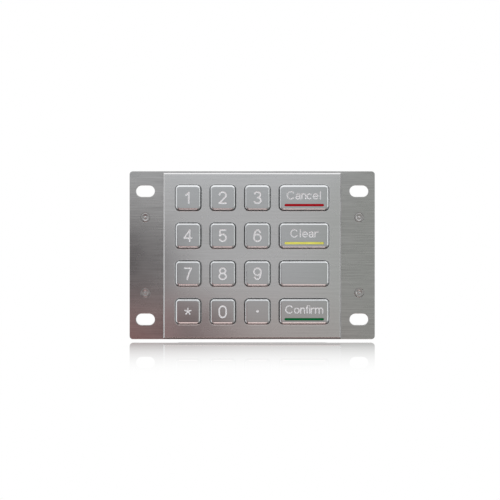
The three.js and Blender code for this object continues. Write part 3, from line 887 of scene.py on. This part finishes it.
def make_inlay(key, node, material):
    """The resin bar in a key's groove, a little below the cap and slightly crowned."""
    x, z = middle(node)
    front, back = depths(node)
    length = size(node).x
    outline = slot_outline(length, 2 * BAR_HALF, x, z, steps=8)
    rows = [(outline(-0.3), front + 0.02), (outline(-0.12), front + 0.04), (outline(-0.02), front + 0.09),
            (outline(), front + 0.18), (outline(), back - 0.14)]
    piece = closed_loft(rows).piece(node.replace("inlay_", "colour_bar_"), [material], flat_area=2.0)
    place(piece, node.replace("inlay_", "") + "_inlay", node, body=key)


# ---------- Key stack ----------

def make_keymat():
    """The mat: a sheet with a collar at each key, and a dome under each key."""
    front, back = depths("silicone_keymat")
    foot = back - 0.05
    sheet_front = back - 1.25
    extent = size("silicone_keymat")
    stud_hole = 2.0
    dome_hole = 5.3
    studs = [disc(stud_hole, *middle("standoff_" + p), steps=16) for p in PLACES]
    holes = [disc(dome_hole, *middle(name), steps=24) for name in KEY_LEGENDS]
    outline = round_rect(extent.x, extent.z, 2.5)
    sheet = slab(outline, sheet_front, back, 0.2, 0.2, [*studs, *holes], hole_edge=0.1)
    place(sheet.piece("keymat_sheet", [SILICONE]), "silicone", "silicone_keymat")
    for name in KEY_LEGENDS:
        x, z = middle(name)
        profile = [(0, front), (3.6, front), (4.0, front + 0.15), (4.4, front + 0.6), (5.2, front + 1.6),
                   (5.28, front + 1.9), (5.2, foot), (4.5, foot), (4.2, front + 1.7), (3.4, front + 0.9),
                   (2.5, front + 0.9), (2.4, back - 0.9), (2.0, back - 0.75), (0, back - 0.75)]
        dome = turned(profile, x, z, steps=28)
        piece = place(dome.piece(name.replace("key_", "dome_"), [SILICONE]), "silicone")
        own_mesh(piece)


# ---------- Back ----------

def cover_outline(spare=0.0, corner=COVER_CORNER, steps=10):
    """The outline of the rear cover, or of a piece larger or smaller by so much each way."""
    cover = size("rear_cover")
    return round_rect(cover.x + spare, cover.z + spare, corner, steps=steps)


def make_housing():
    """The cast rear frame, with its four ears and their webs."""
    inner = cover_outline(-2 * HOUSING_WALL, HOUSING_INNER_CORNER)
    walls = slab(cover_outline(), HOUSING_FRONT, HOUSING_BACK, 0.3, 0.4, [inner], hole_edge=0.2)
    body = walls.piece("rear_casting", [CASTING])
    parts = []
    wall = size("rear_cover").x / 2
    stem = wall - 1.2
    width = box_mm("rear_housing")[1].x - stem
    for place_name in PLACES:
        x, z = middle("flange_stud_" + place_name)
        side = 1 if x > 0 else -1
        ear = round_rect(width, EAR_TALL, EAR_CORNER, side * (stem + width / 2), z)
        hole = disc(STUD_SHANK + 0.3, x, z)
        ear_back = HOUSING_FRONT + EAR_THICK
        parts.append(slab(ear, HOUSING_FRONT, ear_back, 0.3, 0.5, [hole], hole_edge=0.2))
        for up in (1, -1):
            parts.append(web(side, wall, z + up * (EAR_TALL / 2 - 1), ear_back - 0.4))
    for part in parts:
        combine(body, part.piece("casting_part", [CASTING]), "UNION")
    shade(body.data, 6.0)
    place(body, "cast_aluminium", "rear_housing")


def web(side, wall, z, base):
    """A curved web two millimetres thick between an ear and the housing's side."""
    thick = 2.0
    reach = 8.0
    deep = 12.5
    steps = 8
    quarter = [math.pi / 2 * k / steps for k in range(steps + 1)]
    edge = [(wall + reach - reach * math.sin(a), base + deep - deep * math.cos(a)) for a in quarter]
    section = [(wall - 1.0, base - 0.8), (wall + reach, base - 0.8), *edge, (wall - 1.0, base + deep)]
    shell = Shell()
    ends = [[shell.add(side * x, y, z + half) for x, y in section] for half in (-thick / 2, thick / 2)]
    shell.band(*ends)
    for end in ends:
        shell.face(end)
    return shell


def combine(piece, other, operation):
    """Joins another piece to this one or cuts this one by it, and removes the other."""
    change = piece.modifiers.new("combine", "BOOLEAN")
    change.operation = operation
    change.solver = "EXACT"
    change.object = other
    evaluated = piece.evaluated_get(bpy.context.evaluated_depsgraph_get())
    mesh = bpy.data.meshes.new_from_object(evaluated)
    piece.modifiers.clear()
    piece.data = mesh
    bpy.data.objects.remove(other)


def make_gasket():
    """The black ring between the flange and the casting, with a pad under each ear."""
    front, back = depths("housing_gasket")
    inner = cover_outline(-2 * HOUSING_WALL, HOUSING_INNER_CORNER, steps=8)
    ring = slab(cover_outline(0.3), front, back, 0.1, 0.1, [inner], hole_edge=0.05)
    place(ring.piece("gasket_ring", [RUBBER]), "gasket_rubber", "housing_gasket")
    wall = size("rear_cover").x / 2
    reach = box_mm("rear_housing")[1].x - wall
    for place_name in PLACES:
        x, z = middle("flange_stud_" + place_name)
        side = 1 if x > 0 else -1
        pad = round_rect(reach - 0.4, EAR_TALL + 0.2, 1.5, side * (wall + reach / 2 + 0.3), z)
        shell = slab(pad, front, back, 0.1, 0.1, [disc(STUD_SHANK + 0.3, x, z)], hole_edge=0.05)
        place(shell.piece("gasket_pad_" + place_name, [RUBBER]), "gasket_rubber")


def make_nut(name, node, material, slot):
    """A flanged hexagon nut with chamfered corners and a countersunk bore."""
    across, collar, bore = NUT
    x, z = middle(node)
    front, back = depths(node)
    steps = 48
    turn = [2 * math.pi * k / steps for k in range(steps)]
    shell = Shell()

    def hex_radius(angle):
        return across / 2 / math.cos((angle % (math.pi / 3)) - math.pi / 6)

    def ring(radius_at, y_at):
        return [shell.add(x + radius_at(a) * math.cos(a), y_at(a), z + radius_at(a) * math.sin(a))
                for a in turn]

    flat = across / 2 * 0.97
    rows = [
        ring(lambda a: bore + 0.25, lambda a: front),
        ring(lambda a: collar - 0.1, lambda a: front),
        ring(lambda a: collar, lambda a: front + 0.15),
        ring(lambda a: collar, lambda a: front + 0.5),
        ring(lambda a: collar - 0.25, lambda a: front + 0.75),
        ring(lambda a: hex_radius(a) + 0.02, lambda a: front + 1.1),
        ring(hex_radius, lambda a: front + 1.2),
        ring(hex_radius, lambda a: back - 0.577 * (hex_radius(a) - flat)),
        ring(lambda a: flat, lambda a: back),
        ring(lambda a: bore + 0.3, lambda a: back),
        ring(lambda a: bore, lambda a: back - 0.3),
        ring(lambda a: bore, lambda a: front + 0.25),
    ]
    for first, second in zip(rows, rows[1:] + rows[:1]):
        shell.band(first, second)
    place(shell.piece(name, [material], flat_area=1.5), slot, node)


def make_cover():
    """The rear cover plate, with its holes and the window for the header."""
    header = size("interface_header")
    holes = [disc(1.6, *middle(name)) for name in COVER_SCREWS]
    holes.append(disc(2.2, *middle("earth_bolt")))
    holes.append(round_rect(header.x + 1, header.z + 1, 1.0, *middle("interface_header")))
    shell = slab(cover_outline(), COVER_FRONT, COVER_BACK, 0.15, 0.35, holes)
    place(shell.piece("back_cover", [COVER_STEEL]), "cover_steel", "rear_cover")


COVER_SCREWS = ["cover_screw_" + name for name in (*PLACES, "upper_middle", "lower_middle")]


def make_cover_screw(node):
    """A pan-head screw with a hexagonal socket."""
    x, z = middle(node)
    front, back = depths(node)
    seat = COVER_BACK
    shank = 1.35
    shell = Shell()
    head = disc(2.9, x, z, 48)
    socket = hexagon(2.8, x, z)
    rows = [(disc(shank, x, z, 48)(), seat), (head(-0.1), seat), (head(), seat + 0.1),
            (head(), seat + 0.9), (head(-0.12), seat + 1.3), (head(-0.4), seat + 1.7),
            (head(-0.75), seat + 1.93), (head(-1.0), back)]
    first, last = shell.loft(rows)
    mouth, floor = shell.loft([(socket(0.08), back), (socket(), back - 0.1), (socket(), back - 1.1)])
    shell.fill(last, [mouth])
    shell.fill(floor)
    shell.fill(first)
    shell.join(thread(shank, M3_PITCH, front, seat - 0.02, x, z, steps=20))
    piece = shell.piece(node.replace("cover_screw", "socket_screw"), [FASTENER_STEEL], flat_area=0.8)
    place(piece, "fastener_steel", node)


# How deep the header's socket goes, as the y of its floor.
HEADER_FLOOR = 24.0


def make_header():
    """The shroud of the header: a socket with a notch that keys the plug."""
    x, z = middle("interface_header")
    front, back = depths("interface_header")
    extent = size("interface_header")
    outline = round_rect(extent.x, extent.z, 0.5, x, z, steps=4)
    inner = round_rect(extent.x - 2.5, extent.z - 2.5, 0.3, x, z, steps=4)
    shell = Shell()
    first, last = shell.loft(eased(outline, front, back, 0.1, 0.15, 3))
    mouth, bottom = shell.loft([(inner(0.25), back), (inner(), back - 0.3), (inner(), HEADER_FLOOR)])
    shell.fill(first)
    shell.fill(last, [mouth])
    shell.fill(bottom)
    body = shell.piece("header_shroud", [COMPONENT])
    notch = round_rect(4.5, 2.6, 0.3, x, z + extent.z / 2 - 0.5, steps=3)
    cutter = slab(notch, back - 1.8, back + 1, 0.0, 0.0)
    combine(body, cutter.piece("header_notch", [COMPONENT]), "DIFFERENCE")
    shade(body.data, 2.0)
    place(body, "component_plastic", "interface_header")


def make_header_pins():
    """The header's two rows of gold-plated square pins."""
    x, z = middle("interface_header")
    back = depths("interface_header")[1]
    pitch = 2.54
    rows = 2
    columns = 6
    thick = 0.64
    pins = Shell()
    for row in range(rows):
        for column in range(columns):
            px = x + (column - (columns - 1) / 2) * pitch
            pz = z + (row - (rows - 1) / 2) * pitch
            square = round_rect(thick, thick, 0.05, px, pz, steps=1)
            pins.join(closed_loft([(square(), HEADER_FLOOR - 1), (square(), back - 1.9),
                                   (square(-0.18), back - 1.2)]))
    place(pins.piece("header_pins", [GOLD], flat_area=0.3), "nickel_plate")


def make_earth_terminal():
    """The earth bolt's thread, its toothed washer and its nut."""
    x, z = middle("earth_bolt")
    front, back = depths("earth_bolt")
    head = hexagon(HEX_HEAD, x, z)
    bolt = closed_loft([(head(-0.2), front), (head(), front + 0.15), (head(), front + 2.5)])
    bolt.join(thread(STUD_SHANK, M4_PITCH, front + 2.3, back, x, z))
    place(bolt.piece("earth_screw", [NICKEL], flat_area=1.0), "nickel_plate", "earth_bolt")
    make_toothed_washer("earth_washer", x, z)
    make_nut("earth_hex_nut", "earth_nut", NICKEL, "nickel_plate")


def make_toothed_washer(node, x, z):
    """A flat washer with square teeth round its edge."""
    low, high = depths(node)
    teeth = 14
    outer = []
    for k in range(teeth * 4):
        radius = 4.4 if (k // 2) % 2 else 3.7
        angle = math.pi * k / teeth / 2
        outer.append((x + radius * math.cos(angle), z + radius * math.sin(angle)))
    inner = disc(2.15, x, z, teeth * 4)()
    washer = Shell()
    wall = washer.loft([(outer, low), (outer, high)])
    washer.cap(wall, [washer.loft([(inner, low), (inner, high)])])
    place(washer.piece("toothed_washer", [NICKEL], flat_area=2.0), "nickel_plate", node)


# ---------- Inner pieces that keep their CAD shape ----------

CAD_FINISHES = {
    "key_guide": NYLON, "key_circuit_board": BOARD, "controller_board": BOARD, "backing_plate": ZINC,
    "secure_processor": COMPONENT, "backup_battery": NICKEL, "buzzer": COMPONENT,
    "tamper_switch": COMPONENT, "board_link_connector": COMPONENT,
    **{"standoff_" + p: NICKEL for p in PLACES},
    **{"board_screw_" + p: FASTENER_STEEL for p in PLACES},
}


def finish_cad_nodes():
    for name, material in CAD_FINISHES.items():
        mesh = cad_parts[name].data
        mesh.materials.clear()
        mesh.materials.append(material)


# ---------- Stage, light and camera ----------

# The floor's distance below the flange, the camera's place, and the width of view at the object.
FLOOR_DROP = 1.1
EYE = (-1.3, -560.0, 3.1)
FIELD_WIDTH = 297.6


def make_camera():
    camera = bpy.data.cameras.new("camera")
    camera.sensor_width = 36.0
    camera.lens = camera.sensor_width / FIELD_WIDTH * -EYE[1]
    camera.clip_start = 0.01
    camera.clip_end = 20.0
    eye = bpy.data.objects.new("camera", camera)
    eye.location = Vector(EYE) * MM
    eye.rotation_euler = (math.pi / 2, 0, 0)
    bpy.context.scene.collection.objects.link(eye)
    bpy.context.scene.camera = eye


def stage_plane(name, corners, material):
    mesh = bpy.data.meshes.new(name)
    mesh.from_pydata(corners, [], [(0, 1, 2, 3)])
    mesh.materials.append(material)
    plane = bpy.data.objects.new(name, mesh)
    bpy.context.scene.collection.objects.link(plane)
    plane.visible_diffuse = False
    plane.visible_shadow = False
    return plane


def stage_material(name):
    """An empty material: itself, its tree, and the socket for its surface."""
    material = bpy.data.materials.new(name)
    material.use_nodes = True
    tree = material.node_tree
    tree.nodes.clear()
    return material, tree, tree.nodes.new("ShaderNodeOutputMaterial").inputs["Surface"]


def calculate(tree, operation, *values, clamp=False):
    """A Math node's result, from sockets and numbers."""
    node = tree.nodes.new("ShaderNodeMath")
    node.operation = operation
    node.use_clamp = clamp
    for socket, value in zip(node.inputs, values):
        if isinstance(value, float):
            socket.default_value = value
        else:
            tree.links.new(value, socket)
    return node.outputs["Value"]


def mixed_shader(tree, *sockets):
    """A factor and two shaders, mixed."""
    mix = tree.nodes.new("ShaderNodeMixShader")
    for socket, source in zip(mix.inputs, sockets):
        tree.links.new(source, socket)
    return mix.outputs["Shader"]


def make_floor():
    """A white floor just below the object, which mirrors it, less the further from it in depth."""
    material, tree, surface = stage_material("floor")
    white = tree.nodes.new("ShaderNodeEmission")
    mirror = add_node(tree, "ShaderNodeBsdfGlossy", Color=(1, 1, 1, 1), Roughness=0.0)
    split = tree.nodes.new("ShaderNodeSeparateXYZ")
    tree.links.new(tree.nodes.new("ShaderNodeNewGeometry").outputs["Position"], split.inputs["Vector"])
    fade = add_node(tree, "ShaderNodeMapRange", From_Min=0.0, From_Max=0.15, To_Min=0.9, To_Max=0.0)
    tree.links.new(calculate(tree, "ABSOLUTE", split.outputs["Y"]), fade.inputs["Value"])
    share = calculate(tree, "POWER", fade.outputs["Result"], 2.0)
    look = mixed_shader(tree, share, white.outputs["Emission"], mirror.outputs["BSDF"])
    tree.links.new(look, surface)
    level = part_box("mounting_flange")[0].z - FLOOR_DROP * MM
    reach = 6.0
    corners = [(x * reach, y * reach, level) for x, y in ((-1, -1), (1, -1), (1, 1), (-1, 1))]
    stage_plane("floor", corners, material).visible_glossy = False


def upright(wide, away, low, high):
    """The corners of an upright sheet across the view."""
    return [(-wide, away, low), (wide, away, low), (wide, away, high), (-wide, away, high)]


def make_backdrop():
    """A white wall behind the object, which the floor's gloss mirrors."""
    material, tree, surface = stage_material("backdrop")
    tree.links.new(tree.nodes.new("ShaderNodeEmission").outputs["Emission"], surface)
    stage_plane("backdrop", upright(4.0, 1.6, -0.2, 3.0), material)


def soft_spots(tree, position, colour, spots, distance_of):
    """A colour with soft spots blended over it, each (where, colour, edge, core)."""
    for where, light, edge, core in spots:
        soft = add_node(tree, "ShaderNodeMapRange", From_Min=edge, From_Max=core)
        soft.interpolation_type = "SMOOTHSTEP"
        tree.links.new(distance_of(tree, position, where), soft.inputs["Value"])
        colour = blend(tree, soft.outputs["Result"], colour, light)
    return colour


def cosine_to(tree, way, direction):
    """The cosine of the angle from a direction."""
    dot = tree.nodes.new("ShaderNodeVectorMath")
    dot.operation = "DOT_PRODUCT"
    tree.links.new(way, dot.inputs[0])
    dot.inputs[1].default_value = Vector(direction).normalized()
    return dot.outputs["Value"]


def reach_from(tree, position, spot):
    """The distance from a spot's middle, as a share of its width across and of its height up and down."""
    x, z, wide, tall = spot
    shift = tree.nodes.new("ShaderNodeVectorMath")
    shift.operation = "MULTIPLY_ADD"
    tree.links.new(position, shift.inputs[0])
    shift.inputs[1].default_value = (1 / (wide * MM), 0, 1 / (tall * MM))
    shift.inputs[2].default_value = (-x / wide, 0, -z / tall)
    length = tree.nodes.new("ShaderNodeVectorMath")
    length.operation = "LENGTH"
    tree.links.new(shift.outputs["Vector"], length.inputs[0])
    return length.outputs["Value"]


# The reflector just in front, which only the metal mirrors: each spot's x, z, width and height,
# its colour, and where it fades and is full as shares of that size.
REFLECTOR = (0.57, 0.57, 0.575)
REFLECTOR_SPOTS = [
    ((0, 95, 400, 70), (0.66, 0.68, 0.70), 1.0, 0.3),
    ((0, -85, 400, 80), (0.48, 0.435, 0.42), 1.0, 0.3),
    ((-88, -8, 56, 52), (0.155, 0.14, 0.145), 1.0, 0.2),
    ((-78, -78, 100, 66), (0.37, 0.175, 0.17), 1.0, 0.25),
    ((-40, -55, 40, 40), (0.23, 0.19, 0.19), 1.0, 0.0),
    ((95, 0, 70, 120), (0.465, 0.485, 0.46), 1.0, 0.3),
    ((0, 122, 400, 42), (1.1, 1.1, 1.12), 1.0, 0.4),
]


def make_reflector():
    """A graded card a hand's breadth in front of the object, unseen by the camera and by the floor."""
    material, tree, surface = stage_material("reflector")
    glow = tree.nodes.new("ShaderNodeEmission")
    geometry = tree.nodes.new("ShaderNodeNewGeometry")
    light = soft_spots(tree, geometry.outputs["Position"], REFLECTOR, REFLECTOR_SPOTS, reach_from)
    tree.links.new(light, glow.inputs["Color"])
    clear = tree.nodes.new("ShaderNodeBsdfTransparent")
    mirrored = tree.nodes.new("ShaderNodeLightPath").outputs["Is Singular Ray"]
    shows = calculate(tree, "SUBTRACT", geometry.outputs["Backfacing"], mirrored, clamp=True)
    tree.links.new(mixed_shader(tree, shows, clear.outputs["BSDF"], glow.outputs["Emission"]), surface)
    card = stage_plane("reflector", upright(0.17, -0.085, -0.13, 0.13), material)
    card.visible_camera = False
    card.visible_transmission = False


def make_fill_light():
    """A large soft light above the camera, for the moulded pieces. The metal doesn't mirror it."""
    lamp = bpy.data.lights.new("fill", "AREA")
    lamp.shape = "RECTANGLE"
    lamp.size = 0.9
    lamp.size_y = 0.5
    lamp.energy = 1.4
    light = bpy.data.objects.new("fill", lamp)
    light.location = (-0.1, -0.9, 0.7)
    light.rotation_euler = (math.radians(52), 0, 0)
    light.visible_glossy = False
    light.visible_camera = False
    bpy.context.scene.collection.objects.link(light)


# Each patch of the surroundings is a direction, its colour, and the cosines of its edge and its core.
SURROUNDINGS = (0.42, 0.42, 0.425)
PATCHES = [
    ((0.0, 0.2, 1.0), (1.6, 1.6, 1.62), 0.15, 0.72),
    ((-1.0, 0.1, 0.1), (1.2, 1.2, 1.22), 0.5, 0.93),
    ((1.0, -0.6, 0.0), (1.65, 1.65, 1.67), 0.89, 0.965),
    ((0.0, -0.9, -0.7), (0.22, 0.145, 0.13), 0.75, 0.93),
    ((0.0, 0.2, -1.0), (0.10, 0.06, 0.055), 0.60, 0.90),
    ((0.0, -0.52, -0.86), (2.05, 1.62, 1.56), 0.925, 0.97),
]


def make_surroundings():
    """Soft light from all round, as a world of patches. The camera and the floor's gloss see white."""
    world = bpy.data.worlds.new("studio")
    bpy.context.scene.world = world
    world.use_nodes = True
    tree = world.node_tree
    tree.nodes.clear()
    way = tree.nodes.new("ShaderNodeTexCoord").outputs["Generated"]
    lit = tree.nodes.new("ShaderNodeBackground")
    tree.links.new(soft_spots(tree, way, SURROUNDINGS, PATCHES, cosine_to), lit.inputs["Color"])
    plain = add_node(tree, "ShaderNodeBackground", Color=(1, 1, 1, 1))
    ray = tree.nodes.new("ShaderNodeLightPath").outputs
    white = calculate(tree, "MAXIMUM", ray["Is Camera Ray"], ray["Is Singular Ray"])
    look = mixed_shader(tree, white, lit.outputs["Background"], plain.outputs["Background"])
    tree.links.new(look, tree.nodes.new("ShaderNodeOutputWorld").inputs["Surface"])


# ---------- Making everything ----------

make_camera()
make_flange()
make_face_plate()
for stud_place in PLACES:
    make_flange_stud(stud_place)
for key_name, key_legend in KEY_LEGENDS.items():
    make_key(key_name, key_legend)
for key_name, material_of_bar in zip(INLAYS, (RED, YELLOW, GREEN)):
    make_inlay(key_name, INLAYS[key_name], material_of_bar)
make_keymat()
make_gasket()
make_housing()
make_cover()
for stud_place in PLACES:
    make_nut("flange_nut_" + stud_place, "housing_nut_" + stud_place, FASTENER_STEEL, "fastener_steel")
for screw in COVER_SCREWS:
    make_cover_screw(screw)
make_header()
make_header_pins()
make_earth_terminal()
finish_cad_nodes()
make_floor()
make_backdrop()
make_reflector()
make_fill_light()
make_surroundings()

scene = bpy.context.scene
scene.view_settings.view_transform = "Standard"
scene.view_settings.look = "None"
